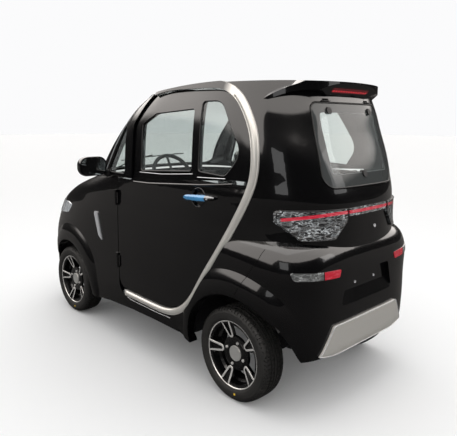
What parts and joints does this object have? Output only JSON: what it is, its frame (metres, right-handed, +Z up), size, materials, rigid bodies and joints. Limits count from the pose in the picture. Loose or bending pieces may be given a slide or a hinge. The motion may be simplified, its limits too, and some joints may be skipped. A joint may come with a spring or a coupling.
{
  "type": "microcar",
  "caption": "Small enclosed city microcar with a rounded hood, wide side doors, a tall cabin and an opening rear window under a roof spoiler.",
  "frame": {"origin": "ground level on the centre plane, under the middle of the wheelbase, 4 mm in front of the middle of the car's whole length", "axes": "+X to the car's left, -Y forward, +Z up"},
  "size_m": [1.5702, 2.6602, 1.669],
  "materials": {
    "black_paint": "gloss",
    "silver_paint": "satin",
    "black_plastic": "matte",
    "glass_clear": "gloss",
    "lamp_clear": "gloss",
    "lamp_red": "gloss",
    "tyre_rubber": "matte",
    "rim_alloy": "satin",
    "frame_steel": "satin",
    "cast_steel": "matte",
    "seat_fabric": "matte",
    "mirror_silver": "gloss",
    "floor_mat": "matte",
    "handle_film": "gloss",
    "bright_metal": "gloss"
  },
  "bodies": {
    "body": {"front_body": "black_paint", "front_bumper": "black_paint", "front_grille": "black_plastic", "headlamps": "lamp_clear", "sills": "black_paint", "side_ribbons": "silver_paint", "door_hoops": "black_paint", "roof_panel": "black_paint", "front_pillars": "black_paint", "pillar_glasses": "glass_clear", "windscreen": "glass_clear", "rear_body": "black_paint", "tail_lamps": "lamp_clear", "light_bar": "lamp_red", "rear_bumper": "black_paint", "rear_reflectors": "lamp_red", "rear_valance": "silver_paint", "rear_spoiler": "black_paint", "high_brake_lamp": "lamp_red", "chassis_frame": "frame_steel", "floor_pan": "floor_mat", "battery_pack": "black_plastic", "rear_axle": "cast_steel", "rear_springs": "frame_steel", "front_arms": "frame_steel", "front_struts": "frame_steel", "dashboard": "black_plastic", "steering_column": "black_plastic", "driver_seat_base": "black_plastic", "driver_seat_cushion": "seat_fabric", "driver_seat_back": "seat_fabric", "rear_bench_cushion": "seat_fabric", "rear_bench_back": "seat_fabric", "mirrors": "black_paint", "mirror_glasses": "mirror_silver", "wing_blades": "bright_metal"},
    "door_left": {"door_left_shell": "black_paint", "door_left_glass": "glass_clear", "door_left_handle": "handle_film"},
    "door_right": {"door_right_shell": "black_paint", "door_right_glass": "glass_clear", "door_right_handle": "handle_film"},
    "hatch": {"hatch_glass": "glass_clear", "hatch_fittings": "black_plastic"},
    "knuckle_left": {"knuckle_left": "cast_steel"},
    "knuckle_right": {"knuckle_right": "cast_steel"},
    "steering_wheel": {"steering_wheel": "black_plastic"},
    "wheel_front_left": {"wheel_front_left_tyre": "tyre_rubber", "wheel_front_left_rim": "rim_alloy"},
    "wheel_front_right": {"wheel_front_right_tyre": "tyre_rubber", "wheel_front_right_rim": "rim_alloy"},
    "wheel_rear_left": {"wheel_rear_left_tyre": "tyre_rubber", "wheel_rear_left_rim": "rim_alloy"},
    "wheel_rear_right": {"wheel_rear_right_tyre": "tyre_rubber", "wheel_rear_right_rim": "rim_alloy"}
  },
  "joints": [
    {"name": "door_left_hinge", "type": "hinge", "parent": "body", "child": "door_left", "pos_m": [0.606, -0.15, 0.765], "axis": [0, 0, -1], "range_deg": [0, 62]},
    {"name": "door_right_hinge", "type": "hinge", "parent": "body", "child": "door_right", "pos_m": [-0.606, -0.15, 0.765], "axis": [0, 0, 1], "range_deg": [0, 62]},
    {"name": "hatch_hinge", "type": "hinge", "parent": "body", "child": "hatch", "pos_m": [0, 1.1448, 1.55], "axis": [1, 0, 0], "range_deg": [0, 65]},
    {"name": "steer_left", "type": "hinge", "parent": "body", "child": "knuckle_left", "pos_m": [0.425, -0.8875, 0.252], "axis": [0, 0, 1], "range_deg": [-30, 30]},
    {"name": "steer_right", "type": "hinge", "parent": "body", "child": "knuckle_right", "pos_m": [-0.425, -0.8875, 0.252], "axis": [0, 0, 1], "range_deg": [-30, 30]},
    {"name": "steering_wheel_turn", "type": "hinge", "parent": "body", "child": "steering_wheel", "pos_m": [0, -0.335, 1.055], "axis": [0, 0.866, 0.5], "range_deg": [-420, 420]},
    {"name": "wheel_front_left_spin", "type": "hinge", "parent": "knuckle_left", "child": "wheel_front_left", "pos_m": [0.503, -0.8875, 0.252], "axis": [1, 0, 0], "continuous": true},
    {"name": "wheel_front_right_spin", "type": "hinge", "parent": "knuckle_right", "child": "wheel_front_right", "pos_m": [-0.503, -0.8875, 0.252], "axis": [1, 0, 0], "continuous": true},
    {"name": "wheel_rear_left_spin", "type": "hinge", "parent": "body", "child": "wheel_rear_left", "pos_m": [0.503, 0.8875, 0.252], "axis": [1, 0, 0], "continuous": true},
    {"name": "wheel_rear_right_spin", "type": "hinge", "parent": "body", "child": "wheel_rear_right", "pos_m": [-0.503, 0.8875, 0.252], "axis": [1, 0, 0], "continuous": true}
  ],
  "couplings": [
    {"joint": "steer_left", "follows": "steering_wheel_turn", "ratio": 0.071429},
    {"joint": "steer_right", "follows": "steering_wheel_turn", "ratio": 0.071429}
  ]
}
